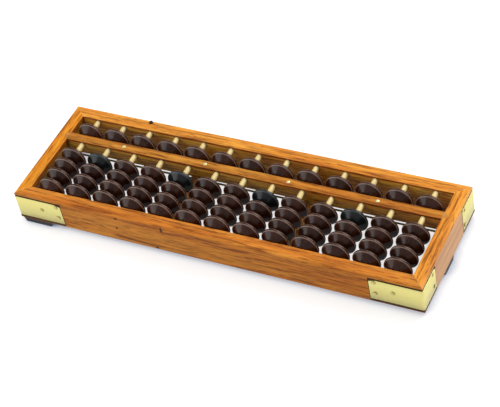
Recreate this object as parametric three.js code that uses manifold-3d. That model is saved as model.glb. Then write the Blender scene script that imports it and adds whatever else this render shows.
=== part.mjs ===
// A thirteen-column desk abacus: a mitred wooden frame with a crossbeam, bamboo rods,
// one heaven bead and four earth beads on each rod, brass corner plates and three feet.
// Millimetres, +X along the length, +Y away from the user, +Z up.
// The origin is at the frame's centre, on the surface that the feet stand on.

import * as THREE from 'three';
import { mergeVertices } from 'three/addons/utils/BufferGeometryUtils.js';
import Module from 'manifold-3d';

const wasm = await Module();
wasm.setup();

// ---- driving dimensions -------------------------------------------------------------------

const frameLength = 300;
const frameDepth = 92.2;
const railWidth = 9.4;
const railHeight = 23.4;
const railEdgeRadius = 1.5;      // rounded outer top edge of each rail
const mitreGap = 0.05;           // glue line at each mitred end

const footHeight = 4;
const cornerFootLength = 23.4;
const sideFootLength = 17;
const footTaper = 1.75;          // at each end, from a foot's top to its bottom
const footWidth = 8.6;
const footInset = 0.3;           // from the frame's outer face to the foot's
const sideFootY = -2;            // the side foot sits a little towards the user
const cornerFootInset = 1.4;     // from the frame's end to the foot's near edge

const columnCount = 13;
const columnPitch = 21.35;
const markerColumns = [2, 5, 8, 11];

const beamCentreY = 16.3;
const beamWidth = 6.85;
const beamHeight = 11.4;
const jointClearance = 0.1;      // around the beam's points, the battens' ends and the peg
const beamPinPlaces = [-95.5, -31.4, 31.4, 95.5];
const beamPinRadius = 1.4;
const beamPinRise = 0.6;

const rodRadius = 1.9;
const rodAxisHeight = 20.1;      // above the frame's underside
const rodHoleRadius = 2.05;
const rodHoleDepth = 5;
const endGap = 0.3;              // past the end of a rod, wire or peg in its blind hole

const beadRadius = 9.73;
const beadThickness = 10.35;
const beadHubRadius = 4.6;
const beadBoreRadius = 2.95;
const beadDrop = 1;              // a bead hangs on its rod, so its axis is this much lower
const earthBeadCount = 4;
const restGap = 0.15;            // between a bead and the wood that it rests against
const markerGap = 0.1;           // between a marker bead and the stack under it

const battenOffset = 42.8;       // each batten's distance from the frame's middle
const battenWidth = 11;
const battenThickness = 3;
const battenTenon = 5;

const plateThickness = 0.5;
const plateRecess = 0.4;
const plateBottom = 2.4;         // above the frame's underside
const plateHeight = 17.7;
const plateLongLeg = 36.5;
const plateShortLeg = 21.3;
const plateCornerRadius = 1.5;
const plateClearance = 0.3;
const nailRadius = 1.1;
const nailRise = 0.3;
// Nail centres on each leg: distance from the frame's corner, height above the plate's edge.
const longLegNails = [[20.4, 9.8], [33, 15.8], [32.8, 5.5]];
const shortLegNails = [[17.2, 15.8], [18.4, 3.3]];

const wireRadius = 0.5;
const wireHoleRadius = 0.8;
const wireHoleDepth = 3;
const wireBeamOffset = 0.9;      // in front of the beam's front face
const wireHeight = 10.5;         // above the frame's underside

const pegX = -88;
const pegInset = 2.2;            // from the rear face to the peg's axis
const pegRadius = 1.5;
const pegShankRadius = 0.9;
const pegRise = 1.5;
const pegDepth = 5;

const roundSegments = 12;
const beadSegments = 16;
const smallSegments = 8;

// ---- places worked out from the dimensions ------------------------------------------------

const woodBottom = footHeight;
const rodZ = woodBottom + rodAxisHeight;
const beadZ = rodZ - beadDrop;
const innerY = frameDepth / 2 - railWidth;
const beamFrontY = beamCentreY - beamWidth / 2;
const beamRearY = beamCentreY + beamWidth / 2;
const wireY = beamFrontY - wireBeamOffset;
const columns = Array.from({ length: columnCount }, (_, i) => i + 1);
const columnX = (column) => (column - (columnCount + 1) / 2) * columnPitch;
const label = (column) => String(column).padStart(2, '0');

// ---- materials ----------------------------------------------------------------------------

const material = (color, roughness, metalness = 0) =>
  new THREE.MeshStandardMaterial({ color, roughness, metalness });

const frameWood = () => material('#c4762f', 0.35);
const bamboo = () => material('#ead396', 0.55);
const beadWood = () => material('#3d241f', 0.3);
const markerWood = () => material('#17171a', 0.3);
const brass = () => material('#d9cf7d', 0.35, 0.9);
const footRubber = () => material('#1a1918', 0.7);
const darkIron = () => material('#2b211c', 0.5, 0.6);

// ---- geometry helpers ---------------------------------------------------------------------

function toManifold(geometry) {
  const bare = geometry.clone();
  for (const name of Object.keys(bare.attributes)) {
    if (name !== 'position') bare.deleteAttribute(name);
  }
  const merged = mergeVertices(bare, 1e-4);
  return new wasm.Manifold(new wasm.Mesh({
    numProp: 3,
    vertProperties: new Float32Array(merged.attributes.position.array),
    triVerts: new Uint32Array(merged.index.array),
  }));
}

function toGeometry(solid) {
  const mesh = solid.getMesh();
  const geometry = new THREE.BufferGeometry();
  geometry.setAttribute('position', new THREE.BufferAttribute(mesh.vertProperties, 3));
  geometry.setIndex(new THREE.BufferAttribute(mesh.triVerts, 1));
  geometry.computeVertexNormals();
  return geometry;
}

function cut(geometry, tools) {
  return toGeometry(tools.reduce((solid, tool) => solid.subtract(toManifold(tool)), toManifold(geometry)));
}

function join(geometries) {
  return toGeometry(geometries.map(toManifold).reduce((solid, next) => solid.add(next)));
}

// A box given by its lowest and highest corners.
function block([x0, y0, z0], [x1, y1, z1]) {
  return new THREE.BoxGeometry(x1 - x0, y1 - y0, z1 - z0)
    .translate((x0 + x1) / 2, (y0 + y1) / 2, (z0 + z1) / 2);
}

// A round bar along Y from y0 to y1.
function barAlongY(radius, x, y0, y1, z, segments) {
  return new THREE.CylinderGeometry(radius, radius, y1 - y0, segments)
    .translate(x, (y0 + y1) / 2, z);
}

// A flat outline in X and Y, raised from z0 to z1.
function raised(outline, z0, z1) {
  const shape = new THREE.Shape(outline.map(([x, y]) => new THREE.Vector2(x, y)));
  return new THREE.ExtrudeGeometry(shape, { depth: z1 - z0, bevelEnabled: false }).translate(0, 0, z0);
}

function part(name, geometry, finish, position = [0, 0, 0], turn = 0) {
  const mesh = new THREE.Mesh(geometry, finish);
  mesh.name = name;
  mesh.position.set(...position);
  mesh.rotation.z = turn;
  return mesh;
}

// ---- frame rails --------------------------------------------------------------------------
// A rail is drawn with its length along X, its outer face at y = 0 and its inner face at
// y = railWidth, standing on z = 0.

function railBlank(length) {
  const profile = new THREE.Shape();
  profile.moveTo(0, 0);
  profile.lineTo(railWidth, 0);
  profile.lineTo(railWidth, railHeight);
  profile.lineTo(railEdgeRadius, railHeight);
  profile.absarc(railEdgeRadius, railHeight - railEdgeRadius, railEdgeRadius, Math.PI / 2, Math.PI, false);
  profile.lineTo(0, 0);
  const blank = new THREE.ExtrudeGeometry(profile, { depth: 1, bevelEnabled: false, curveSegments: 5 });
  const place = blank.attributes.position;
  for (let i = 0; i < place.count; i++) {
    const inward = place.getX(i);
    const up = place.getY(i);
    const end = place.getZ(i) > 0.5 ? 1 : -1;
    place.setXYZ(i, end * (length / 2 - inward - mitreGap), inward, up);
  }
  return blank;
}

function plateRecesses(length, leg) {
  return [-1, 1].map((end) => {
    const near = end * (length / 2 - leg - plateClearance);
    const far = end * (length / 2 + 1);
    const top = plateBottom + plateHeight + plateClearance;
    return block(
      [Math.min(near, far), -1, plateBottom - plateClearance],
      [Math.max(near, far), plateRecess, top],
    );
  });
}

function longRail() {
  const rodHoles = columns.map((column) => barAlongY(
    rodHoleRadius, columnX(column), railWidth - rodHoleDepth, railWidth + 1, rodAxisHeight, roundSegments,
  ));
  const half = battenWidth / 2 + jointClearance;
  const battenNotches = [-battenOffset, battenOffset].map((x) => block(
    [x - half, railWidth - battenTenon - jointClearance, -1],
    [x + half, railWidth + 1, battenThickness + jointClearance],
  ));
  const recesses = plateRecesses(frameLength, plateLongLeg);
  return cut(railBlank(frameLength), [...rodHoles, ...battenNotches, ...recesses]);
}

// The crossbeam's outline: a bar whose ends come to square points, which sit in the short rails.
function beamOutline() {
  const half = beamWidth / 2;
  const shoulder = frameLength / 2 - railWidth;
  const tip = shoulder + half;
  return [[-shoulder, -half], [shoulder, -half], [tip, 0], [shoulder, half], [-shoulder, half], [-tip, 0]];
}

// turned is 1 for the rail whose local X runs along the frame's +Y, and -1 for the other.
function shortRail(turned) {
  const beamX = turned * beamCentreY;
  const half = beamWidth / 2 + jointClearance;
  const beamBottom = railHeight - beamHeight - jointClearance;
  const notch = raised(
    [[beamX - half, railWidth], [beamX, railWidth - half], [beamX + half, railWidth],
      [beamX + half, railWidth + 1], [beamX - half, railWidth + 1]],
    beamBottom,
    railHeight + 1,
  );
  const wireHole = barAlongY(
    wireHoleRadius, turned * wireY, railWidth - wireHoleDepth, railWidth + 1, wireHeight, smallSegments,
  );
  return cut(railBlank(frameDepth), [notch, wireHole, ...plateRecesses(frameDepth, plateShortLeg)]);
}

function pegHole(x) {
  const radius = pegShankRadius + jointClearance;
  return new THREE.CylinderGeometry(radius, radius, pegDepth * 2, roundSegments)
    .rotateX(Math.PI / 2)
    .translate(x, pegInset, railHeight);
}

function rails() {
  const y = frameDepth / 2;
  const x = frameLength / 2;
  return [
    part('front_rail', longRail(), frameWood(), [0, -y, woodBottom]),
    part('rear_rail', cut(longRail(), [pegHole(-pegX)]), frameWood(), [0, y, woodBottom], Math.PI),
    part('left_rail', shortRail(-1), frameWood(), [-x, 0, woodBottom], -Math.PI / 2),
    part('right_rail', shortRail(1), frameWood(), [x, 0, woodBottom], Math.PI / 2),
  ];
}

// ---- crossbeam and battens ----------------------------------------------------------------

// The beam carries four round brass pins, which mark the places between the column groups.
function crossbeam() {
  const bar = raised(beamOutline(), railHeight - beamHeight, railHeight);
  const holes = columns.map((column) => barAlongY(
    rodHoleRadius, columnX(column), -beamWidth, beamWidth, rodAxisHeight, roundSegments,
  ));
  const pins = beamPinPlaces.map((x) => (
    new THREE.CylinderGeometry(beamPinRadius * 0.6, beamPinRadius, beamPinRise * 2, smallSegments)
      .rotateX(Math.PI / 2)
      .translate(x, 0, railHeight)
  ));
  const geometry = join([cut(bar, holes), ...pins]);
  return part('crossbeam', geometry, frameWood(), [0, beamCentreY, woodBottom]);
}

function batten(name, x) {
  const reach = innerY + battenTenon;
  const half = battenWidth / 2;
  const bar = block([-half, -reach, 0], [half, reach, battenThickness]);
  return part(name, bar, frameWood(), [x, 0, woodBottom]);
}

// ---- rods and beads -----------------------------------------------------------------------

function rod(column) {
  const reach = innerY + rodHoleDepth - endGap;
  const geometry = barAlongY(rodRadius, 0, -reach, reach, 0, roundSegments);
  return part(`rod_${label(column)}`, geometry, bamboo(), [columnX(column), 0, rodZ]);
}

// Biconical beads in a row, threaded on the Y axis and touching at their hubs.
function beadRow(count) {
  const outline = [[beadBoreRadius, 0], [beadHubRadius, 0]];
  for (let i = 0; i < count; i++) {
    outline.push([beadRadius, (i + 0.5) * beadThickness], [beadHubRadius, (i + 1) * beadThickness]);
  }
  outline.push([beadBoreRadius, count * beadThickness], [beadBoreRadius, 0]);
  return new THREE.LatheGeometry(outline.map(([r, y]) => new THREE.Vector2(r, y)), beadSegments);
}

function heavenBead(column) {
  const position = [columnX(column), beamRearY + restGap, beadZ];
  return part(`heaven_bead_${label(column)}`, beadRow(1), beadWood(), position);
}

function earthBeads(column) {
  const marked = markerColumns.includes(column);
  const count = earthBeadCount - (marked ? 1 : 0);
  const start = -innerY + restGap;
  const x = columnX(column);
  const stack = part(`earth_beads_${label(column)}`, beadRow(count), beadWood(), [x, start, beadZ]);
  if (!marked) return [stack];
  const top = start + count * beadThickness + markerGap;
  const marker = part(`marker_bead_${label(column)}`, beadRow(1), markerWood(), [x, top, beadZ]);
  return [stack, marker];
}

// ---- brass corner plates ------------------------------------------------------------------

// One flat leg in X and Z with its free top corner rounded, plateThickness deep along Y.
function plateLeg(length, side) {
  const r = plateCornerRadius;
  const shape = new THREE.Shape();
  shape.moveTo(0, 0);
  shape.lineTo(side * length, 0);
  shape.lineTo(side * length, plateHeight - r);
  const centre = side * (length - r);
  shape.absarc(centre, plateHeight - r, r, side > 0 ? 0 : Math.PI, Math.PI / 2, side < 0);
  shape.lineTo(0, plateHeight);
  const options = { depth: plateThickness, bevelEnabled: false, curveSegments: 3 };
  return new THREE.ExtrudeGeometry(shape, options).rotateX(Math.PI / 2).translate(0, plateThickness, 0);
}

function nailHead(x, z) {
  return new THREE.CylinderGeometry(nailRadius, nailRadius * 0.6, nailRise * 2, smallSegments)
    .translate(x, 0, z);
}

// The plate wraps the corner at the origin. Its long leg runs along X, towards side, and its
// short leg runs along +Y. The outer faces are at y = 0 and at x = 0.
function cornerPlate(name, side, cornerX, cornerY, turn) {
  const longLeg = [plateLeg(plateLongLeg, side), ...longLegNails.map(([d, z]) => nailHead(side * d, z))];
  const shortLeg = [plateLeg(plateShortLeg, -side), ...shortLegNails.map(([d, z]) => nailHead(-side * d, z))];
  const turned = shortLeg.map((piece) => piece.rotateZ(-side * Math.PI / 2));
  const proud = plateThickness - plateRecess;
  const position = [cornerX, cornerY, woodBottom + plateBottom];
  const geometry = join([...longLeg, ...turned]).translate(-side * proud, -proud, 0);
  return part(name, geometry, brass(), position, turn);
}

function cornerPlates() {
  const x = frameLength / 2;
  const y = frameDepth / 2;
  return [
    cornerPlate('corner_plate_front_left', 1, -x, -y, 0),
    cornerPlate('corner_plate_front_right', -1, x, -y, 0),
    cornerPlate('corner_plate_rear_right', 1, x, y, Math.PI),
    cornerPlate('corner_plate_rear_left', -1, -x, y, Math.PI),
  ];
}

// ---- feet, wire and peg -------------------------------------------------------------------

// A tapered pad along X, standing on z = 0 under a rail whose outer face is at y = 0.
function footPad(length) {
  const top = length / 2;
  const bottom = top - footTaper;
  const side = new THREE.Shape([[-bottom, 0], [bottom, 0], [top, footHeight], [-top, footHeight]]
    .map(([x, z]) => new THREE.Vector2(x, z)));
  return new THREE.ExtrudeGeometry(side, { depth: footWidth, bevelEnabled: false })
    .rotateX(Math.PI / 2)
    .translate(0, footWidth, 0);
}

function feet() {
  const cornerX = -frameLength / 2 + cornerFootInset + cornerFootLength / 2;
  const faceY = frameDepth / 2 - footInset;
  const sideX = frameLength / 2 - footInset;
  return [
    part('foot_front_left', footPad(cornerFootLength), footRubber(), [cornerX, -faceY, 0]),
    part('foot_rear_left', footPad(cornerFootLength), footRubber(), [cornerX, faceY, 0], Math.PI),
    part('foot_right', footPad(sideFootLength), footRubber(), [sideX, sideFootY, 0], Math.PI / 2),
  ];
}

// A straight wire under the beam's front edge, held in blind holes in the side rails.
function beamWire() {
  const reach = frameLength / 2 - railWidth + wireHoleDepth - endGap;
  const geometry = new THREE.CylinderGeometry(wireRadius, wireRadius, reach * 2, smallSegments)
    .rotateZ(Math.PI / 2);
  return part('beam_wire', geometry, brass(), [0, wireY, woodBottom + wireHeight]);
}

// A short dark peg with a domed head, standing in the top of the rear rail.
function rearPeg() {
  const profile = [[0, endGap - pegDepth], [pegShankRadius, endGap - pegDepth],
    [pegShankRadius, jointClearance], [pegRadius, jointClearance],
    [pegRadius, pegRise * 0.6], [pegShankRadius, pegRise], [0, pegRise]]
    .map(([r, z]) => new THREE.Vector2(r, z));
  const geometry = new THREE.LatheGeometry(profile, roundSegments).rotateX(Math.PI / 2);
  const position = [pegX, frameDepth / 2 - pegInset, woodBottom + railHeight];
  return part('rear_peg', geometry, darkIron(), position);
}

// ---- assembly -----------------------------------------------------------------------------

const abacus = new THREE.Group();
abacus.add(
  ...rails(),
  crossbeam(),
  batten('batten_left', -battenOffset),
  batten('batten_right', battenOffset),
  ...columns.map(rod),
  ...columns.map(heavenBead),
  ...columns.flatMap(earthBeads),
  ...cornerPlates(),
  ...feet(),
  beamWire(),
  rearPeg(),
);

export default abacus;
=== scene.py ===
"""The looks of a thirteen-column wooden abacus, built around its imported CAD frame. Metres, +Z up."""

import math
import random

import bpy
from mathutils import Matrix, Vector, noise

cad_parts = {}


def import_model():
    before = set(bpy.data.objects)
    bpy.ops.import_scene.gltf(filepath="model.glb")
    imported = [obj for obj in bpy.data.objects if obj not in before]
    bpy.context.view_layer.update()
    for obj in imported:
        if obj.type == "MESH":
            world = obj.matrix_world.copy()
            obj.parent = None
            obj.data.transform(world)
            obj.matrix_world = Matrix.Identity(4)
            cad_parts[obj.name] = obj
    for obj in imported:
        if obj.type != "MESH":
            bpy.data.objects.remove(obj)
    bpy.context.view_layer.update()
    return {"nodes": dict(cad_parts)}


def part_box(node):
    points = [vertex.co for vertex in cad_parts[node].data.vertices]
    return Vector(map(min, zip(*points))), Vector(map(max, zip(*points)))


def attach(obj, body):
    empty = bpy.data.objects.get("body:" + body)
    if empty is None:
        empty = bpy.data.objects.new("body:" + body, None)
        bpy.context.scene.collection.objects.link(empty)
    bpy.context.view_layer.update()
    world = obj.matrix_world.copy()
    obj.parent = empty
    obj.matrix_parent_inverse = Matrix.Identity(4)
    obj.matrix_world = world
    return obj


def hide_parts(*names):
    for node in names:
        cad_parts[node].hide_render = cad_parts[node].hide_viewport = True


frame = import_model()

MM = 0.001
FRAME_BODY = "frame"
COLUMNS = range(1, 14)
MARKER_COLUMNS = (2, 5, 8, 11)

front_low, front_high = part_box("front_rail")
left_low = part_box("left_rail")[0]
beam_low, beam_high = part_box("crossbeam")
plate_low, plate_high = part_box("corner_plate_front_left")

FRAME_HALF_X = -left_low.x
FRAME_HALF_Y = -front_low.y
WOOD_BOTTOM = front_low.z
WOOD_TOP = front_high.z
RAIL_WIDTH = front_high.y - front_low.y
RAIL_HEIGHT = WOOD_TOP - WOOD_BOTTOM
MITRE_GAP = 0.05 * MM


# ---- mesh helpers --------------------------------------------------------------------------


def add_piece(name, mesh, material, body, stands_for=None, sharp_angle=40, place=None):
    """Links a mesh as a finished piece of the object, shaded smooth up to the sharp angle."""
    mesh.shade_smooth()
    mesh.set_sharp_from_angle(angle=math.radians(sharp_angle))
    if not mesh.materials:
        mesh.materials.append(material)
    piece = bpy.data.objects.new(name, mesh)
    bpy.context.scene.collection.objects.link(piece)
    if place:
        piece.matrix_world = place
    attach(piece, body)
    if stands_for:
        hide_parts(stands_for)
    return piece


def mesh_from(name, points, faces):
    """A checked mesh from points and faces."""
    mesh = bpy.data.meshes.new(name)
    mesh.from_pydata([tuple(p) for p in points], [], faces)
    mesh.validate()
    return mesh


def arc(centre, radius, start, end, steps):
    """Points on a circle from start to end degrees, both ends included."""
    angles = [math.radians(start + (end - start) * i / steps) for i in range(steps + 1)]
    return [(centre[0] + radius * math.cos(a), centre[1] + radius * math.sin(a)) for a in angles]


def swept(name, rings):
    """A closed skin over rings of equal length, with both ends capped."""
    count = len(rings[0])
    points = [p for ring in rings for p in ring]
    faces = []
    for i in range(len(rings) - 1):
        for j in range(count):
            k = (j + 1) % count
            faces.append((i * count + j, i * count + k, (i + 1) * count + k, (i + 1) * count + j))
    faces.append(tuple(reversed(range(count))))
    faces.append(tuple(range(len(points) - count, len(points))))
    return mesh_from(name, points, faces)


def lathed(name, outline, segments, place):
    """Turns an outline of (radius, height) pairs; place carries the local +Z axis to its spot.
    An outline that starts and ends on the axis makes a solid knob, any other closes on itself."""
    on_axis = outline[0][0] == 0
    points, faces = [], []
    inner = outline[1:-1] if on_axis else outline
    for radius, height in inner:
        for i in range(segments):
            a = 2 * math.pi * i / segments
            points.append(place @ Vector((radius * math.cos(a), radius * math.sin(a), height)))
    rows = len(inner)
    last = rows - 1 if on_axis else rows
    for row in range(last):
        lower = row * segments
        upper = (row + 1) % rows * segments
        for i in range(segments):
            j = (i + 1) % segments
            faces.append((lower + i, lower + j, upper + j, upper + i))
    if on_axis:
        base, tip = len(points), len(points) + 1
        points += [place @ Vector((0, 0, outline[0][1])), place @ Vector((0, 0, outline[-1][1]))]
        for i in range(segments):
            j = (i + 1) % segments
            faces.append((base, j, i))
            faces.append((tip, last * segments + i, last * segments + j))
    return mesh_from(name, points, faces)


def cut_mesh(mesh, cutter):
    """The mesh less the cutter, which is used up."""
    blank = bpy.data.objects.new("blank", mesh)
    tool = bpy.data.objects.new("tool", cutter)
    for item in (blank, tool):
        bpy.context.scene.collection.objects.link(item)
    modifier = blank.modifiers.new("cut", "BOOLEAN")
    modifier.object = tool
    modifier.operation = "DIFFERENCE"
    modifier.solver = "EXACT"
    graph = bpy.context.evaluated_depsgraph_get()
    result = bpy.data.meshes.new_from_object(blank.evaluated_get(graph))
    for item in (blank, tool):
        bpy.data.objects.remove(item)
    return result


def joined(name, meshes):
    """One mesh that holds the parts of several."""
    points, faces = [], []
    for mesh in meshes:
        start = len(points)
        points += [v.co.copy() for v in mesh.vertices]
        faces += [tuple(start + i for i in p.vertices) for p in mesh.polygons]
    return mesh_from(name, points, faces)


def facing(direction, at):
    """A placement whose local +Z points along direction."""
    return Matrix.Translation(at) @ direction.to_track_quat("Z", "Y").to_matrix().to_4x4()


# ---- material helpers ----------------------------------------------------------------------


class Shader:
    """A node material under construction. A value that is another node's output gets linked."""

    def __init__(self, name):
        self.material = bpy.data.materials.new(name)
        self.material.use_nodes = True
        self.tree = self.material.node_tree
        self.tree.nodes.clear()

    def add(self, kind, output=0, inputs=None, **settings):
        """Adds a node, fills its inputs by name or number, and returns one of its outputs."""
        node = self.tree.nodes.new("ShaderNode" + kind)
        for key, value in settings.items():
            setattr(node, key, value)
        for key, value in (inputs or {}).items():
            if isinstance(value, bpy.types.NodeSocket):
                self.tree.links.new(value, node.inputs[key])
            else:
                node.inputs[key].default_value = value
        return node.outputs[output]

    def place(self, scale=(1, 1, 1), offset=(0, 0, 0)):
        coords = self.add("TexCoord", "Object")
        return self.add("Mapping", inputs={"Vector": coords, "Scale": scale, "Location": offset})

    def grey(self, value):
        """The same value in all three channels."""
        return self.add("CombineColor", inputs={0: value, 1: value, 2: value})

    def noise(self, place, scale, detail=3.0, roughness=0.5, distortion=0.0):
        return self.add("TexNoise", "Fac", {
            "Vector": place, "Scale": scale, "Detail": detail,
            "Roughness": roughness, "Distortion": distortion,
        })

    def ramp(self, value, stops):
        """A colour ramp over (position, colour) stops; a plain number is a grey."""
        node = self.tree.nodes.new("ShaderNodeValToRGB")
        self.tree.links.new(value, node.inputs["Fac"])
        elements = node.color_ramp.elements
        while len(elements) < len(stops):
            elements.new(0.5)
        for element, (position, colour) in zip(elements, stops):
            element.position = position
            element.color = (*colour, 1) if isinstance(colour, tuple) else (colour, colour, colour, 1)
        return node.outputs["Color"]

    def mix(self, share, a, b, how="MIX"):
        """Colour a with a share of colour b laid over it."""
        def padded(c):
            return (*c, 1) if isinstance(c, tuple) and len(c) == 3 else c
        node = self.tree.nodes.new("ShaderNodeMix")
        node.data_type = "RGBA"
        node.blend_type = how
        values = {0: share, 6: padded(a), 7: padded(b)}
        for index, value in values.items():
            socket = node.inputs[index]
            if isinstance(value, bpy.types.NodeSocket):
                self.tree.links.new(value, socket)
            else:
                socket.default_value = value
        return node.outputs[2]

    def math(self, operation, a, b=0.0):
        return self.add("Math", inputs={0: a, 1: b}, operation=operation)

    def spread(self, value, low, high):
        """Carries 0..1 to low..high."""
        return self.add("MapRange", inputs={"Value": value, "To Min": low, "To Max": high})

    def bump(self, height, distance, strength=1.0, normal=None):
        inputs = {"Height": height, "Distance": distance, "Strength": strength}
        if normal:
            inputs["Normal"] = normal
        return self.add("Bump", inputs=inputs)

    def crevice(self, distance, lean=None):
        """Near 0 in corners and gaps, 1 in the open. A lean looks more to one side."""
        inputs = {"Distance": distance}
        if lean:
            inputs["Normal"] = self.add("CombineXYZ", inputs={0: lean[0], 1: lean[1], 2: lean[2]})
        return self.add("AmbientOcclusion", "AO", inputs, samples=6)

    def ridge(self, distance):
        """Low along outer edges, near 1 on flat faces."""
        return self.add("AmbientOcclusion", "AO", {"Distance": distance}, samples=6, inside=True)

    def finish(self, **inputs):
        """Closes the material with a Principled surface; Base_Color stands for "Base Color"."""
        named = {key.replace("_", " "): value for key, value in inputs.items()}
        for key, value in named.items():
            if isinstance(value, tuple) and len(value) == 3:
                named[key] = (*value, 1)
        surface = self.add("BsdfPrincipled", inputs=named)
        output = self.tree.nodes.new("ShaderNodeOutputMaterial")
        self.tree.links.new(surface, output.inputs["Surface"])
        return self.material


# ---- materials -----------------------------------------------------------------------------

WOOD_GOLD = (0.93, 0.39, 0.050)
WOOD_ORANGE = (0.82, 0.29, 0.030)
WOOD_RED = (0.60, 0.17, 0.018)
WOOD_DARK = (0.20, 0.045, 0.008)
WOOD_BLACK_BROWN = (0.045, 0.014, 0.005)
WOOD_WORN = (0.85, 0.42, 0.12)
# Colours of the painted reflection on the right rail's outer face.
SHEEN_DARK = (0.66, 0.34, 0.18)
SHEEN_MID = (0.84, 0.45, 0.22)
SHEEN_LIGHT = (0.92, 0.56, 0.30)

# Painted shade on the rails' inner faces: shaded olive and dim tones, and a painted dark red shadow band
# under the top edge.
OLIVE_SHADE = (1.22, 1.55, 1.7)
DEEP_RED_SHADOW = (0.55, 0.34, 0.34)
DIM_SHADE = (0.36, 0.38, 0.44)
SHADOW_BAND = 1.6 * MM
SHADOW_BAND_BLUR = 0.8 * MM

# The grain's scale along the board as a share of that across it, how far edge wear reaches, how far the
# painted corner shade reaches, and how far tight joints are darkened.
GRAIN_STRETCH = 0.07
EDGE_WEAR = 0.9 * MM
CORNER_SHADE_REACH = 2.5 * MM
JOINT_DARK_REACH = 0.8 * MM


def with_marks(s, colour, marks):
    """Small dark knots or dents on a face that looks along Y: x, z, half width and half height."""
    spots = s.noise(s.place(), 2600, 2)
    for x, z, half_width, half_height in marks:
        near = s.add("Mapping", inputs={
            "Vector": s.add("TexCoord", "Object"),
            "Scale": (1 / half_width, 0, 1 / half_height),
            "Location": (-x / half_width, 0, -z / half_height),
        })
        distance = s.add("VectorMath", "Value", {0: near}, operation="LENGTH")
        ragged = s.math("ADD", distance, s.spread(spots, -0.5, 0.5))
        colour = s.mix(s.ramp(ragged, [(0.55, 0.92), (1.0, 0.0)]), colour, WOOD_BLACK_BROWN)
    return colour


def with_painted_face_shade(s, colour, axis, sign, shade):
    """Painted shade on the face that looks along one axis, with a painted dark red shadow band under its
    top edge.
    """
    towards = s.math("MULTIPLY", s.add("SeparateXYZ", axis, {0: s.add("TexCoord", "Normal")}), sign)
    band = WOOD_TOP - SHADOW_BAND
    height = s.add("MapRange", inputs={
        "Value": s.add("SeparateXYZ", "Z", {0: s.add("TexCoord", "Object")}),
        "From Min": band - SHADOW_BAND_BLUR, "From Max": band,
    })
    shaded_colour = s.mix(1.0, colour, s.mix(height, shade, DEEP_RED_SHADOW), "MULTIPLY")
    return s.mix(s.ramp(towards, [(0.75, 0.0), (0.95, 1.0)]), colour, shaded_colour)


def with_painted_side_sheen(s, colour, figure):
    """The face that looks along +X, painted a paler pinkish beige: a painted reflection of the bright
    surroundings seen at a grazing angle.
    """
    side = s.add("SeparateXYZ", "X", {0: s.add("TexCoord", "Normal")})
    side_sheen_colour = s.ramp(figure, [(0.35, SHEEN_DARK), (0.52, SHEEN_MID), (0.68, SHEEN_LIGHT)])
    return s.mix(s.ramp(side, [(0.80, 0.0), (0.97, 0.88)]), colour, side_sheen_colour)


def varnished_wood(name, along, seed, tint=(1.0, 1.0, 1.0), side_sheen=False, inner=None, marks=()):
    """Glossy orange-brown wood whose grain runs along one axis (0, 1 or 2).
    inner is the axis, sign and shade tint of a face that gets painted shade."""
    s = Shader(name)
    stretch = [1.0, 1.0, 1.0]
    stretch[along] = GRAIN_STRETCH
    rng = random.Random(seed)
    place = s.place(stretch, [rng.uniform(-1, 1) for _ in range(3)])
    figure = s.noise(place, 95, 4, 0.55, 0.8)
    streaks = s.noise(place, 420, 6, 0.62, 0.5)
    fibres = s.noise(place, 2600, 3, 0.7)
    pores = s.noise(place, 1400, 2, 0.5)
    colour = s.ramp(figure, [
        (0.30, WOOD_RED), (0.46, WOOD_ORANGE), (0.62, WOOD_GOLD), (0.78, WOOD_ORANGE),
    ])
    colour = s.mix(s.ramp(streaks, [(0.36, 0.80), (0.46, 0.32), (0.58, 0.0)]), colour, WOOD_DARK)
    colour = s.mix(s.ramp(pores, [(0.32, 0.8), (0.42, 0.0)]), colour, WOOD_DARK)
    colour = s.mix(1.0, colour, s.grey(s.spread(fibres, 0.78, 1.22)), "MULTIPLY")
    rubbed = s.ramp(s.ridge(EDGE_WEAR), [(0.55, 0.9), (0.88, 0.0)])
    colour = s.mix(s.math("MULTIPLY", rubbed, s.spread(streaks, 0.1, 0.9)), colour, WOOD_WORN)
    # Painted shade: the wood is darkened in its corners.
    shade_and_grime = s.ramp(s.crevice(CORNER_SHADE_REACH), [(0.15, 0.8), (0.75, 0.0)])
    colour = s.mix(shade_and_grime, colour, WOOD_DARK)
    # Darker in tight gaps, such as the mitres and along the plates' edges.
    joint_dark = s.ramp(s.crevice(JOINT_DARK_REACH), [(0.55, 0.95), (0.90, 0.0)])
    colour = s.mix(joint_dark, colour, WOOD_BLACK_BROWN)
    colour = s.mix(1.0, colour, tint, "MULTIPLY")
    if marks:
        colour = with_marks(s, colour, marks)
    # An inner face gets painted shade, and a painted shadow band under its top edge.
    if inner:
        colour = with_painted_face_shade(s, colour, *inner)
    # The right rail's outer face gets a painted reflection, paler and pinker.
    if side_sheen:
        colour = with_painted_side_sheen(s, colour, figure)
    relief = s.bump(fibres, 0.05 * MM, 0.35)
    relief = s.bump(pores, 0.08 * MM, 0.4, relief)
    relief = s.bump(s.noise(s.place(), 160, 2), 0.25 * MM, 0.35, relief)
    return s.finish(
        Base_Color=colour, Roughness=s.spread(streaks, 0.34, 0.50), Normal=relief,
        Specular_IOR_Level=0.10, Coat_Weight=0.16, Coat_Roughness=0.14, Coat_IOR=1.35,
    )


# The painted highlight line along a bead's rim band: its limits by radius, and by distance from the
# bead's middle plane.
RIM_START = 9.12 * MM
RIM_FULL = 9.36 * MM
RIM_INNER = 0.52 * MM
RIM_OUTER = 0.74 * MM


def own_coordinates(s):
    """Object coordinates shifted by each piece's own random number, and that number."""
    chance = s.add("ObjectInfo", "Random")
    shift = s.add("CombineXYZ", inputs={0: chance, 1: chance, 2: chance})
    coords = s.add("VectorMath", inputs={0: s.add("TexCoord", "Object"), 1: shift}, operation="ADD")
    return coords, chance


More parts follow.
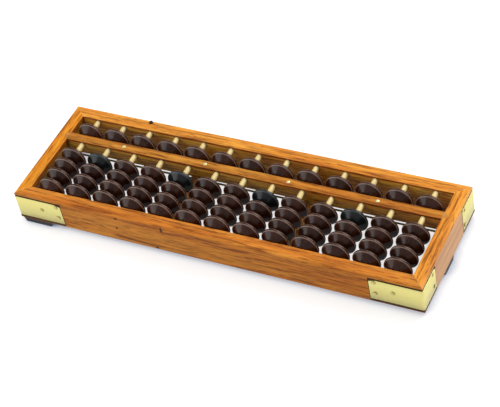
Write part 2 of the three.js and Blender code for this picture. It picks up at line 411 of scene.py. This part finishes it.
def polished_bead(name, dark, mid, light, edge_wear_and_highlight):
    """Turned and polished dark wood, with a little difference from bead to bead. The sheen fades
    on the underside, where a real bead would mirror only its dark neighbours."""
    s = Shader(name)
    coords, chance = own_coordinates(s)
    place = s.add("Mapping", inputs={"Vector": coords, "Scale": (1.0, 0.25, 1.0)})
    grain = s.noise(place, 700, 5, 0.6, 0.6)
    fibres = s.noise(place, 3200, 3, 0.6)
    cloud = s.noise(place, 130, 2)
    colour = s.ramp(grain, [(0.32, dark), (0.52, mid), (0.74, light)])
    colour = s.mix(s.ramp(cloud, [(0.40, 0.0), (0.70, 0.55)]), colour, light)
    colour = s.mix(1.0, colour, s.grey(s.spread(chance, 0.80, 1.20)), "MULTIPLY")
    # Painted highlight: a lighter line along the front and back edges of each bead's rim band.
    own = s.add("TexCoord", "Object")
    across = s.add("VectorMath", inputs={0: own, 1: (1, 0, 1)}, operation="MULTIPLY")
    radius = s.add("VectorMath", "Value", {0: across}, operation="LENGTH")
    rim = s.add("MapRange", inputs={"Value": radius, "From Min": RIM_START, "From Max": RIM_FULL})
    along = s.math("ABSOLUTE", s.add("SeparateXYZ", "Y", {0: own}))
    edge = s.add("MapRange", inputs={"Value": along, "From Min": RIM_INNER, "From Max": RIM_OUTER})
    rim_highlight = s.math("MULTIPLY", s.math("MULTIPLY", rim, edge), s.spread(grain, 0.35, 1.3))
    colour = s.mix(rim_highlight, colour, edge_wear_and_highlight)
    relief = s.bump(fibres, 0.03 * MM, 0.25)
    relief = s.bump(cloud, 0.3 * MM, 0.3, relief)
    up = s.add("SeparateXYZ", "Z", {0: s.add("NewGeometry", "Normal")})
    sheen = s.add("MapRange", inputs={
        "Value": up, "From Min": -0.35, "From Max": 0.25, "To Min": 0.03, "To Max": 0.31,
    })
    return s.finish(
        Base_Color=colour, Roughness=s.spread(grain, 0.16, 0.26), Normal=relief,
        Specular_IOR_Level=sheen,
    )


BAMBOO_DARK = (0.66, 0.44, 0.13)
BAMBOO_MID = (0.86, 0.68, 0.27)
BAMBOO_LIGHT = (0.96, 0.83, 0.43)


def bamboo_rod(name):
    """Pale split bamboo with fine fibres along the rod and a few darker node marks."""
    s = Shader(name)
    coords, _ = own_coordinates(s)
    place = s.add("Mapping", inputs={"Vector": coords, "Scale": (1.0, 0.05, 1.0)})
    fibres = s.noise(place, 3800, 4, 0.6)
    tone = s.noise(place, 420, 2)
    marks = s.noise(s.add("Mapping", inputs={"Vector": coords, "Scale": (0.2, 1.0, 0.2)}), 90, 2)
    colour = s.ramp(fibres, [(0.30, BAMBOO_DARK), (0.50, BAMBOO_MID), (0.70, BAMBOO_LIGHT)])
    colour = s.mix(s.ramp(tone, [(0.35, 0.35), (0.60, 0.0)]), colour, (0.70, 0.47, 0.20))
    colour = s.mix(s.ramp(marks, [(0.70, 0.0), (0.76, 0.6)]), colour, (0.33, 0.18, 0.06))
    # Darker where the rod meets the beads and the holes: patina, and painted shade where they crowd the
    # rod.
    shade_and_grime = s.ramp(s.crevice(1.5 * MM), [(0.20, 0.6), (0.70, 0.0)])
    colour = s.mix(shade_and_grime, colour, (0.22, 0.12, 0.04))
    relief = s.bump(fibres, 0.04 * MM, 0.4)
    return s.finish(Base_Color=colour, Roughness=s.spread(fibres, 0.34, 0.50), Normal=relief)


def sheet_brass(name, colour_a, colour_b, roughness):
    """Pale yellow brass, faintly clouded and scratched, darkened in its corners and round the nail
    heads: grime, and painted shade.
    """
    s = Shader(name)
    place = s.place()
    cloud = s.noise(place, 90, 4, 0.6, 0.4)
    brushed = s.noise(s.place((0.05, 0.05, 1.0)), 5200, 2, 0.6)
    specks = s.noise(place, 900, 3, 0.6)
    colour = s.ramp(cloud, [(0.30, colour_a), (0.70, colour_b)])
    spots = s.ramp(specks, [(0.66, 0.0), (0.76, 0.55)])
    colour = s.mix(spots, colour, (0.30, 0.20, 0.07))
    # Painted shade and grime: darker in corners and round the nail heads.
    shade_and_grime = s.ramp(s.crevice(0.9 * MM), [(0.58, 0.95), (0.93, 0.0)])
    colour = s.mix(shade_and_grime, colour, (0.05, 0.03, 0.01))
    relief = s.bump(brushed, 0.02 * MM, 0.25)
    relief = s.bump(s.noise(place, 140, 2), 0.5 * MM, 0.25, relief)
    return s.finish(
        Base_Color=colour, Metallic=0.6, Normal=relief,
        Roughness=s.spread(cloud, roughness - 0.06, roughness + 0.08),
    )


def foot_rubber(name):
    """Black rubber, dusty and greyer along its edges."""
    s = Shader(name)
    place = s.place()
    grain = s.noise(place, 1500, 4, 0.6)
    dust = s.ramp(s.noise(place, 260, 3), [(0.50, 0.0), (0.80, 0.35)])
    colour = s.mix(dust, (0.014, 0.013, 0.012), (0.10, 0.09, 0.08))
    edge_wear_and_highlight = s.ramp(s.ridge(0.8 * MM), [(0.50, 0.45), (0.85, 0.0)])
    colour = s.mix(edge_wear_and_highlight, colour, (0.12, 0.11, 0.10))
    relief = s.bump(grain, 0.1 * MM, 0.5)
    return s.finish(Base_Color=colour, Roughness=s.spread(grain, 0.42, 0.65), Normal=relief)


def black_iron(name):
    """Dark iron with a little rust."""
    s = Shader(name)
    rust = s.noise(s.place(), 900, 4, 0.6)
    colour = s.ramp(rust, [(0.45, (0.035, 0.030, 0.027)), (0.75, (0.14, 0.06, 0.03))])
    relief = s.bump(rust, 0.06 * MM, 0.5)
    return s.finish(
        Base_Color=colour, Metallic=0.7, Roughness=s.spread(rust, 0.38, 0.7), Normal=relief,
    )


# Knots and dents in the front rail's outer face.
FRONT_MARKS = (
    (-69.1 * MM, 25.0 * MM, 1.7 * MM, 1.1 * MM),
    (-70.2 * MM, 15.8 * MM, 1.2 * MM, 1.2 * MM),
    (-34.4 * MM, 24.2 * MM, 1.3 * MM, 2.8 * MM),
    (-41.0 * MM, 5.4 * MM, 1.4 * MM, 1.2 * MM),
)

FRAME_WOODS = {
    "front_rail": varnished_wood("front_rail_wood", 0, 11, (0.91, 0.85, 0.90), marks=FRONT_MARKS),
    "rear_rail": varnished_wood("rear_rail_wood", 0, 23, (1.0, 1.02, 1.1), inner=("Y", -1, OLIVE_SHADE)),
    "left_rail": varnished_wood("left_rail_wood", 1, 37, (1.07, 1.08, 0.6), inner=("X", 1, DIM_SHADE)),
    "right_rail": varnished_wood("right_rail_wood", 1, 41, (1.07, 1.10, 1.0), side_sheen=True),
    "crossbeam": varnished_wood("crossbeam_wood", 0, 59, (0.76, 0.76, 0.76), inner=("Y", -1, OLIVE_SHADE)),
    "batten": varnished_wood("batten_wood", 1, 67, (1.05, 1.05, 1.0)),
}
RECESS_WOOD = varnished_wood("recess_wood", 0, 71, (0.16, 0.12, 0.10))
BEAD_WOOD = polished_bead(
    "bead_wood",
    (0.010, 0.003, 0.002), (0.033, 0.009, 0.004), (0.070, 0.020, 0.010), (0.34, 0.22, 0.17),
)
MARKER_WOOD = polished_bead(
    "marker_wood",
    (0.004, 0.005, 0.006), (0.008, 0.010, 0.011), (0.020, 0.024, 0.026), (0.09, 0.10, 0.10),
)
BAMBOO = bamboo_rod("bamboo")
BRASS = sheet_brass("brass", (0.96, 0.84, 0.29), (0.92, 0.86, 0.32), 0.34)
NAIL_BRASS = sheet_brass("nail_brass", (0.62, 0.50, 0.17), (0.80, 0.72, 0.28), 0.26)
PIN_BRASS = sheet_brass("pin_brass", (0.95, 0.85, 0.38), (0.90, 0.84, 0.42), 0.40)
# Painted shade: the wire's brass is darkened to the tone it has in the crossbeam's shade.
SHADED_WIRE_BRASS = sheet_brass("wire_brass", (0.13, 0.11, 0.04), (0.17, 0.14, 0.05), 0.45)
RUBBER = foot_rubber("foot_rubber")
IRON = black_iron("dark_iron")


# ---- rails and crossbeam -------------------------------------------------------------------

OUTER_RADIUS = 1.4 * MM
INNER_RADIUS = 0.5 * MM
FOOT_RADIUS = 0.35 * MM
BEAM_EDGE_RADIUS = 0.45 * MM
RAIL_SPANS = 24
CROWN = 0.22 * MM
RECESS_DEPTH = 0.4 * MM
RECESS_MARGIN = 0.5 * MM
RECESS_HEADROOM = 1.5 * MM
STEP = 0.02 * MM
ROD_HOLE_RADIUS = 2.0 * MM
ROD_HOLE_DEPTH = 5 * MM
HOLE_SEGMENTS = 24
JOINT_CLEARANCE = 0.1 * MM
OVERCUT = 1 * MM


def crowned(across, height):
    """The height of a slightly arched top at a share of its width."""
    return height - CROWN * (2 * across - 1) ** 2


def rail_outline():
    """(inward, up) around a rail's section, starting under its outer edge, going up its outer face."""
    shoulder = RAIL_HEIGHT - OUTER_RADIUS
    recess_low = plate_low.z - WOOD_BOTTOM - RECESS_MARGIN
    recess_high = plate_high.z - WOOD_BOTTOM + RECESS_HEADROOM
    outline = arc((FOOT_RADIUS, FOOT_RADIUS), FOOT_RADIUS, 270, 180, 3)
    outline += [(0, recess_low - STEP), (0, recess_low), (0, recess_high), (0, recess_high + STEP)]
    outline += arc((OUTER_RADIUS, shoulder - CROWN), OUTER_RADIUS, 180, 90, 8)
    flat = RAIL_WIDTH - OUTER_RADIUS - INNER_RADIUS
    for i in range(1, 8):
        across = i / 8
        outline.append((OUTER_RADIUS + flat * across, crowned(across, RAIL_HEIGHT)))
    inner_edge = (RAIL_WIDTH - INNER_RADIUS, RAIL_HEIGHT - CROWN - INNER_RADIUS)
    outline += arc(inner_edge, INNER_RADIUS, 90, 0, 3)
    outline += arc((RAIL_WIDTH - FOOT_RADIUS, FOOT_RADIUS), FOOT_RADIUS, 0, -90, 3)
    return outline, recess_low, recess_high


def rail_mesh(name, half_length, leg, place):
    """A mitred rail along local X, with its outer face at local y = 0 and shallow recesses for
    two plates."""
    outline, recess_low, recess_high = rail_outline()
    recess_x = half_length - leg - RECESS_MARGIN
    inner = [recess_x * (2 * i / RAIL_SPANS - 1) for i in range(RAIL_SPANS + 1)]
    stations = [(None, -1), (-recess_x - STEP, -1)]
    stations += [(x, 0) for x in inner]
    stations += [(recess_x + STEP, 1), (None, 1)]
    rings = []
    for x, end in stations:
        ring = []
        for inward, up in outline:
            in_recess = end != 0 and recess_low <= up <= recess_high and inward == 0
            depth = RECESS_DEPTH if in_recess else inward
            reach = x if x is not None else end * (half_length - depth - MITRE_GAP)
            ring.append(place @ Vector((reach, depth, up)))
        rings.append(ring)
    mesh = swept(name, rings)
    mesh.materials.append(FRAME_WOODS[name])
    mesh.materials.append(RECESS_WOOD)
    back = outline.index((0, recess_low))
    for row in (0, len(rings) - 2):
        for face in (back - 2, back - 1, back, back + 1):
            mesh.polygons[row * len(outline) + face].material_index = 1
    return mesh


def bar_tool(radius, start, end):
    """A round cutting bar from start to end."""
    axis = end - start
    outline = [(0, 0), (radius, 0), (radius, axis.length), (0, axis.length)]
    return lathed("bar_tool", outline, HOLE_SEGMENTS, facing(axis.normalized(), start))


def prism_tool(corners, low, high):
    """An upright cutting prism over (x, y) corners."""
    return swept("prism_tool", [[Vector((x, y, z)) for x, y in corners] for z in (low, high)])


def column_x(column):
    """Where a rod stands along the frame."""
    low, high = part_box(f"rod_{column:02d}")
    return (low.x + high.x) / 2


def rod_axis_z():
    low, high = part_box("rod_01")
    return (low.z + high.z) / 2


def rod_hole_tools(start_y, end_y):
    """One cutting bar for each rod."""
    z = rod_axis_z()
    return [
        bar_tool(ROD_HOLE_RADIUS, Vector((column_x(c), start_y, z)), Vector((column_x(c), end_y, z)))
        for c in COLUMNS
    ]


def batten_tools(sign):
    """The battens' ends, grown by the joint's clearance."""
    tools = []
    for name in ("batten_left", "batten_right"):
        low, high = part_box(name)
        x0, x1 = low.x - JOINT_CLEARANCE, high.x + JOINT_CLEARANCE
        y0 = sign * (high.y + JOINT_CLEARANCE)
        y1 = sign * (FRAME_HALF_Y - RAIL_WIDTH - OVERCUT)
        corners = [(x0, min(y0, y1)), (x1, min(y0, y1)), (x1, max(y0, y1)), (x0, max(y0, y1))]
        tools.append(prism_tool(corners, low.z - OVERCUT, high.z + JOINT_CLEARANCE))
    return tools


def long_rails():
    """The front and rear rails, with blind holes for the rods and notches for the battens."""
    leg = plate_high.x + FRAME_HALF_X
    inner = FRAME_HALF_Y - RAIL_WIDTH
    for name, sign, turn in (("front_rail", -1, 0), ("rear_rail", 1, math.pi)):
        place = Matrix.Translation((0, sign * FRAME_HALF_Y, WOOD_BOTTOM)) @ Matrix.Rotation(turn, 4, "Z")
        mesh = rail_mesh(name, FRAME_HALF_X, leg, place)
        tools = rod_hole_tools(sign * (inner + ROD_HOLE_DEPTH), sign * (inner - OVERCUT))
        tools += batten_tools(sign)
        mesh = cut_mesh(mesh, joined("tools", tools))
        add_piece(name + "_wood", mesh, FRAME_WOODS[name], FRAME_BODY, name)


def short_rails():
    """The left and right rails, each with a notch for the crossbeam's pointed end."""
    leg = plate_high.y + FRAME_HALF_Y
    beam_half = (beam_high.y - beam_low.y) / 2 + JOINT_CLEARANCE
    beam_y = (beam_high.y + beam_low.y) / 2
    inner = FRAME_HALF_X - RAIL_WIDTH
    for name, sign, turn in (("left_rail", -1, -math.pi / 2), ("right_rail", 1, math.pi / 2)):
        place = Matrix.Translation((sign * FRAME_HALF_X, 0, WOOD_BOTTOM)) @ Matrix.Rotation(turn, 4, "Z")
        mesh = rail_mesh(name, FRAME_HALF_Y, leg, place)
        corners = [
            (sign * (inner - OVERCUT), beam_y - beam_half), (sign * inner, beam_y - beam_half),
            (sign * (inner + beam_half), beam_y), (sign * inner, beam_y + beam_half),
            (sign * (inner - OVERCUT), beam_y + beam_half),
        ]
        if sign < 0:
            corners.reverse()
        notch = prism_tool(corners, beam_low.z - JOINT_CLEARANCE, WOOD_TOP + OVERCUT)
        mesh = cut_mesh(mesh, notch)
        add_piece(name + "_wood", mesh, FRAME_WOODS[name], FRAME_BODY, name)


def crossbeam():
    """A bar along X, its top a little arched and its ends coming to a square point."""
    half = (beam_high.y - beam_low.y) / 2
    centre = (beam_high.y + beam_low.y) / 2
    height = WOOD_TOP - beam_low.z
    radius = BEAM_EDGE_RADIUS
    outline = arc((-half + radius, radius), radius, 270, 180, 3)
    outline += arc((-half + radius, height - CROWN - radius), radius, 180, 90, 3)
    for i in range(1, 8):
        across = i / 8
        outline.append((-half + radius + (2 * half - 2 * radius) * across, crowned(across, height)))
    outline += arc((half - radius, height - CROWN - radius), radius, 90, 0, 3)
    outline += arc((half - radius, radius), radius, 0, -90, 3)
    shoulder = FRAME_HALF_X - RAIL_WIDTH
    stations = [shoulder * (2 * i / RAIL_SPANS - 1) for i in range(RAIL_SPANS + 1)]
    rings = []
    for end, x in [(-1, None)] + [(0, x) for x in stations] + [(1, None)]:
        ring = []
        for across, up in outline:
            reach = x if x is not None else end * (shoulder + half - abs(across))
            ring.append(Vector((reach, centre + across, beam_low.z + up)))
        rings.append(ring)
    mesh = swept("crossbeam", rings)
    mesh = cut_mesh(mesh, joined("tools", rod_hole_tools(beam_low.y - OVERCUT, beam_high.y + OVERCUT)))
    add_piece("crossbeam_wood", mesh, FRAME_WOODS["crossbeam"], FRAME_BODY, "crossbeam")


def dressed_nodes():
    """CAD nodes whose shape is right: they get softened edges and a finished material."""
    for name, material, slot, width in (
        ("batten_left", FRAME_WOODS["batten"], "batten_wood", 0.4 * MM),
        ("batten_right", FRAME_WOODS["batten"], "batten_wood", 0.4 * MM),
        ("foot_front_left", RUBBER, "foot_rubber", 0.7 * MM),
        ("foot_rear_left", RUBBER, "foot_rubber", 0.7 * MM),
        ("foot_right", RUBBER, "foot_rubber", 0.7 * MM),
    ):
        node = frame["nodes"][name]
        node.data.materials.clear()
        node.data.materials.append(material)
        bevel = node.modifiers.new("softened_edges", "BEVEL")
        bevel.width = width
        bevel.segments = 3
        bevel.limit_method = "ANGLE"
        bevel.angle_limit = math.radians(30)
        bevel.harden_normals = True


# ---- rods and beads ------------------------------------------------------------------------

BEAD_HUB_RADIUS = 4.6 * MM
BEAD_BORE_RADIUS = 2.95 * MM
BAND_HALF = 0.9 * MM
BAND_DROP = 0.32 * MM
BEAD_HUB_ROUND = 0.5 * MM
BEAD_BULGE = 0.06 * MM
BEAD_GAP = 0.04 * MM
BEAD_SEGMENTS = 72
ROD_WOBBLE = 0.015
ROD_SPANS = 40
ROD_SEGMENTS = 24


def rod(column):
    """A hand-split bamboo rod: nearly round, with slow small changes of radius."""
    low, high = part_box(f"rod_{column:02d}")
    radius = (high.x - low.x) / 2
    x = (low.x + high.x) / 2
    z = (low.z + high.z) / 2
    rings = []
    for i in range(ROD_SPANS + 1):
        y = low.y + (high.y - low.y) * i / ROD_SPANS
        ring = []
        for j in range(ROD_SEGMENTS):
            a = 2 * math.pi * j / ROD_SEGMENTS
            wobble = noise.noise(Vector((column * 3.7 + math.cos(a), y * 60, math.sin(a))))
            r = radius * (1 - ROD_WOBBLE + ROD_WOBBLE * wobble)
            ring.append(Vector((x + r * math.sin(a), y, z + r * math.cos(a))))
        rings.append(ring)
    name = f"rod_{column:02d}"
    add_piece(name + "_bamboo", swept(name, rings), BAMBOO, FRAME_BODY, name)


def bead_outline(radius, hub, bore, thickness):
    """The section of a bead: two slightly bulging cones that meet in a narrow rounded band."""
    half = thickness / 2
    start = Vector((hub, -half))
    end = Vector((radius - BAND_DROP, -BAND_HALF))
    outward = Vector((end.y - start.y, start.x - end.x)).normalized()
    lower = []
    for i in range(9):
        t = i / 8
        point = start + (end - start) * t + outward * BEAD_BULGE * 4 * t * (1 - t)
        lower.append((point.x, point.y))
    ridge = [(radius - BAND_DROP * 0.3, -BAND_HALF * 0.72), (radius, -BAND_HALF * 0.25)]
    ridge += [(r, -y) for r, y in reversed(ridge)]
    front = [(bore, -half + BEAD_HUB_ROUND * 0.6), (bore + BEAD_HUB_ROUND * 0.6, -half),
             (hub - BEAD_HUB_ROUND, -half)] + lower[1:]
    back = [(r, -y) for r, y in reversed(front)]
    return front + ridge + back


def bead_mesh(name, radius, hub, bore, thickness):
    """A bead threaded on the Y axis, centred on the origin."""
    turn = Matrix.Rotation(-math.pi / 2, 4, "X")
    return lathed(name, bead_outline(radius, hub, bore, thickness), BEAD_SEGMENTS, turn)


def bead_at(name, mesh, centre, body, node, rng):
    """A bead on its rod, turned by a random number of quarter turns."""
    turn = Matrix.Rotation(rng.randrange(4) * math.pi / 2, 4, "Y")
    add_piece(name, mesh, None, body, node, place=Matrix.Translation(centre) @ turn)


def middle_y(node):
    """The middle of a node's box, front to back."""
    low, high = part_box(node)
    return (low.y + high.y) / 2


def beads():
    """Every bead as its own piece. The beads of one rod's stack stand for one node together."""
    low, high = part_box("heaven_bead_01")
    radius = (high.z - low.z) / 2
    thickness = high.y - low.y
    z = (low.z + high.z) / 2
    sizes = (radius, BEAD_HUB_RADIUS, BEAD_BORE_RADIUS, thickness - BEAD_GAP)
    brown = bead_mesh("bead", *sizes)
    brown.materials.append(BEAD_WOOD)
    black = bead_mesh("marker_bead", *sizes)
    black.materials.append(MARKER_WOOD)
    rng = random.Random(5)
    for column in COLUMNS:
        number = f"{column:02d}"
        x = column_x(column)
        node = f"heaven_bead_{number}"
        centre = (x, middle_y(node), z)
        bead_at(f"bead_heaven_{number}", brown, centre, f"heaven_{number}", node, rng)
        node = f"earth_beads_{number}"
        low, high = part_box(node)
        count = round((high.y - low.y) / thickness)
        for i in range(count):
            centre = (x, low.y + (i + 0.5) * thickness, z)
            name = f"bead_earth_{number}_{i + 1}"
            bead_at(name, brown, centre, f"earth_{number}", node, rng)
        if column in MARKER_COLUMNS:
            node = f"marker_bead_{number}"
            centre = (x, middle_y(node), z)
            name = f"bead_marker_{number}"
            bead_at(name, black, centre, f"marker_{number}", node, rng)


# ---- brass ---------------------------------------------------------------------------------

SHEET = 0.5 * MM
BEND_RADIUS = 1.0 * MM
PLATE_CORNER = 1.5 * MM
PLATE_EDGE = 0.1 * MM
PLATE_RISE = 0.1 * MM
PLATE_TRIM = 0.3 * MM
NAIL_RADIUS = 1.35 * MM
NAIL_RISE = 0.65 * MM
# Nail centres on each leg: distance from the frame's corner, height above the plate's lower edge.
LONG_LEG_NAILS = ((20.4 * MM, 9.8 * MM), (33 * MM, 15.8 * MM), (32.8 * MM, 5.5 * MM))
SHORT_LEG_NAILS = ((17.2 * MM, 15.8 * MM), (18.4 * MM, 3.3 * MM))


def dome_outline(radius, rise, skirt):
    """A low dome that stands rise above local z = 0, with its skirt below."""
    outline = [(0, -skirt), (radius, -skirt), (radius, 0)]
    for i in range(1, 6):
        a = math.pi / 2 * i / 6
        outline.append((radius * math.cos(a), rise * math.sin(a)))
    return outline + [(0, rise)]


def nail_outline():
    """A shank through the sheet and a round head whose rim stands a little clear of it."""
    shank = NAIL_RADIUS * 0.75
    rim = NAIL_RISE * 0.25
    outline = [(0, -SHEET), (shank, -SHEET), (shank, rim), (NAIL_RADIUS, rim), (NAIL_RADIUS, rim * 1.6)]
    for i in range(1, 6):
        a = math.pi / 2 * i / 6
        outline.append((NAIL_RADIUS * math.cos(a), rim * 1.6 + (NAIL_RISE - rim * 1.6) * math.sin(a)))
    return outline + [(0, NAIL_RISE)]


def plate_mesh(name, long_leg, short_leg, height, place):
    """Sheet bent around a corner. The path runs in from the long leg's free end (local +X), round
    the corner at the origin, and out along the short leg (local +Y)."""
    path = []
    steps = 14
    for i in range(steps + 1):
        x = long_leg + (BEND_RADIUS - long_leg) * (1 - (1 - i / steps) ** 2)
        path.append((Vector((x, 0)), Vector((0, 1)), long_leg - x))
    for i in range(1, 6):
        a = math.radians(90 * i / 6)
        outward = Vector((-math.sin(a), -math.cos(a)))
        path.append((Vector((BEND_RADIUS, BEND_RADIUS)) + outward * BEND_RADIUS, -outward, long_leg))
    for i in range(steps + 1):
        y = BEND_RADIUS + (short_leg - BEND_RADIUS) * (i / steps) ** 0.5 if i else BEND_RADIUS
        path.append((Vector((0, y)), Vector((1, 0)), short_leg - y))
    rings = []
    edge = PLATE_EDGE
    for point, inward, to_end in path:
        lack = max(0.0, PLATE_CORNER - to_end)
        top = height - PLATE_CORNER + math.sqrt(max(0.0, PLATE_CORNER ** 2 - lack ** 2))
        section = [
            (edge, 0), (0, edge), (0, top - edge), (edge, top),
            (SHEET - edge, top), (SHEET, top - edge), (SHEET, edge), (SHEET - edge, 0),
        ]
        ring = []
        for depth, up in section:
            spot = point + inward * depth
            ring.append(place @ Vector((spot.x, spot.y, up)))
        rings.append(ring)
    return swept(name, rings)


def corner_plates():
    """Four plates, each with three nails in its long leg and two in its short leg."""
    corners = (
        ("front_left", 1, 1), ("front_right", -1, 1),
        ("rear_left", 1, -1), ("rear_right", -1, -1),
    )
    for corner, toward_x, toward_y in corners:
        node = f"corner_plate_{corner}"
        low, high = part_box(node)
        out_x = -toward_x * (FRAME_HALF_X + PLATE_RISE)
        out_y = -toward_y * (FRAME_HALF_Y + PLATE_RISE)
        origin = Vector((out_x, out_y, low.z))
        place = Matrix.Translation(origin) @ Matrix.Diagonal((toward_x, toward_y, 1, 1))
        long_leg = (high.x - low.x) - PLATE_TRIM
        short_leg = (high.y - low.y) - PLATE_TRIM
        mesh = plate_mesh(node, long_leg, short_leg, high.z - low.z, place)
        if toward_x * toward_y < 0:
            mesh.flip_normals()
        add_piece(f"{node}_sheet", mesh, BRASS, FRAME_BODY, node, 50)
        nails = []
        for along, up in LONG_LEG_NAILS:
            nails.append((Vector((toward_x * along, 0, up)), Vector((0, -toward_y, 0))))
        for along, up in SHORT_LEG_NAILS:
            nails.append((Vector((0, toward_y * along, up)), Vector((-toward_x, 0, 0))))
        for i, (spot, outward) in enumerate(nails, start=1):
            mesh = lathed("nail", nail_outline(), 24, facing(outward, origin + spot))
            add_piece(f"nail_{corner}_{i}", mesh, NAIL_BRASS, FRAME_BODY)


BEAM_PIN_PLACES = (-95.5 * MM, -31.4 * MM, 31.4 * MM, 95.5 * MM)
PIN_RADIUS = 1.4 * MM
PIN_RISE = 0.5 * MM
PIN_DEPTH = 2 * MM
PIN_SINK = 0.02 * MM


def beam_pins():
    """Domed pins in the crossbeam's top, between rods."""
    y = middle_y("crossbeam")
    for number, x in enumerate(BEAM_PIN_PLACES, start=1):
        place = Matrix.Translation((x, y, WOOD_TOP - PIN_SINK))
        mesh = lathed("pin", dome_outline(PIN_RADIUS, PIN_RISE, PIN_DEPTH), 32, place)
        add_piece(f"beam_pin_{number}", mesh, PIN_BRASS, FRAME_BODY)


WIRE_SWELL = 1.4
WIRE_LIFT = 0.6 * MM
WIRE_WOBBLE = 0.25 * MM
WIRE_SPANS = 80
WIRE_SEGMENTS = 12


def beam_wire():
    """A drawn wire, not quite straight, a little thicker and higher than its node."""
    low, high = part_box("beam_wire")
    radius = (high.z - low.z) / 2 * WIRE_SWELL
    y = (low.y + high.y) / 2
    z = (low.z + high.z) / 2 + WIRE_LIFT
    rings = []
    for i in range(WIRE_SPANS + 1):
        x = low.x + (high.x - low.x) * i / WIRE_SPANS
        sway = WIRE_WOBBLE * min(1.0, i / 6, (WIRE_SPANS - i) / 6)
        dy = sway * noise.noise(Vector((x * 18, 1.3, 0)))
        dz = sway * noise.noise(Vector((x * 18, 7.9, 0)))
        ring = []
        for j in range(WIRE_SEGMENTS):
            a = 2 * math.pi * j / WIRE_SEGMENTS
            ring.append(Vector((x, y + dy + radius * math.cos(a), z + dz + radius * math.sin(a))))
        rings.append(ring)
    add_piece("wire_under_beam", swept("wire", rings), SHADED_WIRE_BRASS, FRAME_BODY, "beam_wire")


PEG_TRIM = 0.2 * MM
PEG_CUT = 0.3 * MM


def rear_peg():
    """A short iron peg with a rounded head, a little smaller than its node."""
    low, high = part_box("rear_peg")
    radius = (high.x - low.x) / 2 - PEG_TRIM
    rise = high.z - WOOD_TOP - PEG_CUT
    shank = radius * 0.6
    outline = [(0, low.z - WOOD_TOP), (shank, low.z - WOOD_TOP), (shank, 0.1 * MM), (radius, 0.15 * MM)]
    outline += [(radius, rise * 0.45)]
    for i in range(1, 6):
        a = math.pi / 2 * i / 6
        outline.append((radius * math.cos(a), rise * (0.45 + 0.55 * math.sin(a))))
    outline.append((0, rise))
    place = Matrix.Translation(((low.x + high.x) / 2, (low.y + high.y) / 2, WOOD_TOP))
    mesh = lathed("peg", outline, 32, place)
    add_piece("rear_peg_iron", mesh, IRON, FRAME_BODY, "rear_peg")


# ---- studio --------------------------------------------------------------------------------

CAMERA_AT = Vector((0.44096, -0.63819, 0.76898))
CAMERA_AIM = Vector((0.01488, -0.00937, 0.0274))
CAMERA_ROLL = math.radians(12.812)
CAMERA_LENS = 115.83
CAMERA_REACH = 60

FLOOR_HALF = 15.0
FLOOR_SEEN = 0.72
FLOOR_MIRRORED = 0.50
CONTACT_REACH = 5 * MM
SIDE_REACH = 12 * MM
SIDE_LEAN = (-0.80, -0.25, 0.55)
WORLD_STRENGTH = 0.50


def camera():
    """The viewing angle, with a roll about the line of sight."""
    data = bpy.data.cameras.new("camera")
    data.lens = CAMERA_LENS
    data.clip_start = 0.01
    data.clip_end = CAMERA_REACH
    eye = bpy.data.objects.new("camera", data)
    bpy.context.scene.collection.objects.link(eye)
    forward = (CAMERA_AIM - CAMERA_AT).normalized()
    level = forward.cross(Vector((0, 0, 1))).normalized()
    right = level * math.cos(CAMERA_ROLL) + forward.cross(level) * math.sin(CAMERA_ROLL)
    up = right.cross(forward)
    turn = Matrix((right, up, -forward)).transposed().to_4x4()
    eye.matrix_world = Matrix.Translation(CAMERA_AT) @ turn
    bpy.context.scene.camera = eye


def soft_box(name, towards, distance, size, power):
    """A white area light in a direction from the object, facing it."""
    data = bpy.data.lights.new(name, "AREA")
    data.shape = "RECTANGLE"
    data.size, data.size_y = size
    data.energy = power
    light = bpy.data.objects.new(name, data)
    bpy.context.scene.collection.objects.link(light)
    direction = Vector(towards).normalized()
    light.matrix_world = facing(direction, direction * distance)


def floor():
    """A pale floor, white to the camera but for a soft shadow around the object, wider beside
    the right rail. Glossy surfaces mirror it as plain white."""
    s = Shader("floor_white")
    paper = s.ramp(s.noise(s.place(), 40, 2), [(0.3, 0.50), (0.7, 0.52)])
    white = (1.0, 1.0, 1.0)
    contact = s.ramp(s.crevice(CONTACT_REACH), [(0.35, (0.40, 0.47, 0.60)), (0.86, white)])
    beside = s.ramp(s.crevice(SIDE_REACH, SIDE_LEAN), [(0.30, (0.22, 0.28, 0.38)), (0.85, white)])
    contact = s.mix(1.0, contact, beside, "MULTIPLY")
    seen = s.add("LightPath", "Is Camera Ray")
    mirrored = s.math("MULTIPLY", s.add("LightPath", "Is Glossy Ray"), FLOOR_MIRRORED)
    glow = s.math("ADD", s.math("MULTIPLY", seen, FLOOR_SEEN), mirrored)
    material = s.finish(
        Base_Color=paper, Roughness=0.9, Specular_IOR_Level=0.0,
        Emission_Color=s.mix(seen, white, contact), Emission_Strength=glow,
    )
    half = FLOOR_HALF
    corners = [(-half, -half, 0), (half, -half, 0), (half, half, 0), (-half, half, 0)]
    mesh = mesh_from("floor", corners, [(0, 1, 2, 3)])
    mesh.materials.append(material)
    plane = bpy.data.objects.new("floor", mesh)
    bpy.context.scene.collection.objects.link(plane)


def world():
    """Even white light from all round."""
    background = bpy.data.worlds.new("studio")
    background.use_nodes = True
    shade = background.node_tree.nodes["Background"]
    shade.inputs["Color"].default_value = (1, 1, 1, 1)
    shade.inputs["Strength"].default_value = WORLD_STRENGTH
    bpy.context.scene.world = background
    bpy.context.scene.view_settings.view_transform = "Standard"


# ---- assembly ------------------------------------------------------------------------------

long_rails()
short_rails()
crossbeam()
dressed_nodes()
for number in COLUMNS:
    rod(number)
beads()
corner_plates()
beam_pins()
beam_wire()
rear_peg()

floor()
world()
soft_box("wedge_front_left", (-0.75, -0.54, 0.38), 1.2, (0.85, 0.90), 4.4)
soft_box("top_rear", (0.35, 0.58, 0.73), 1.3, (0.9, 0.9), 13)
camera()
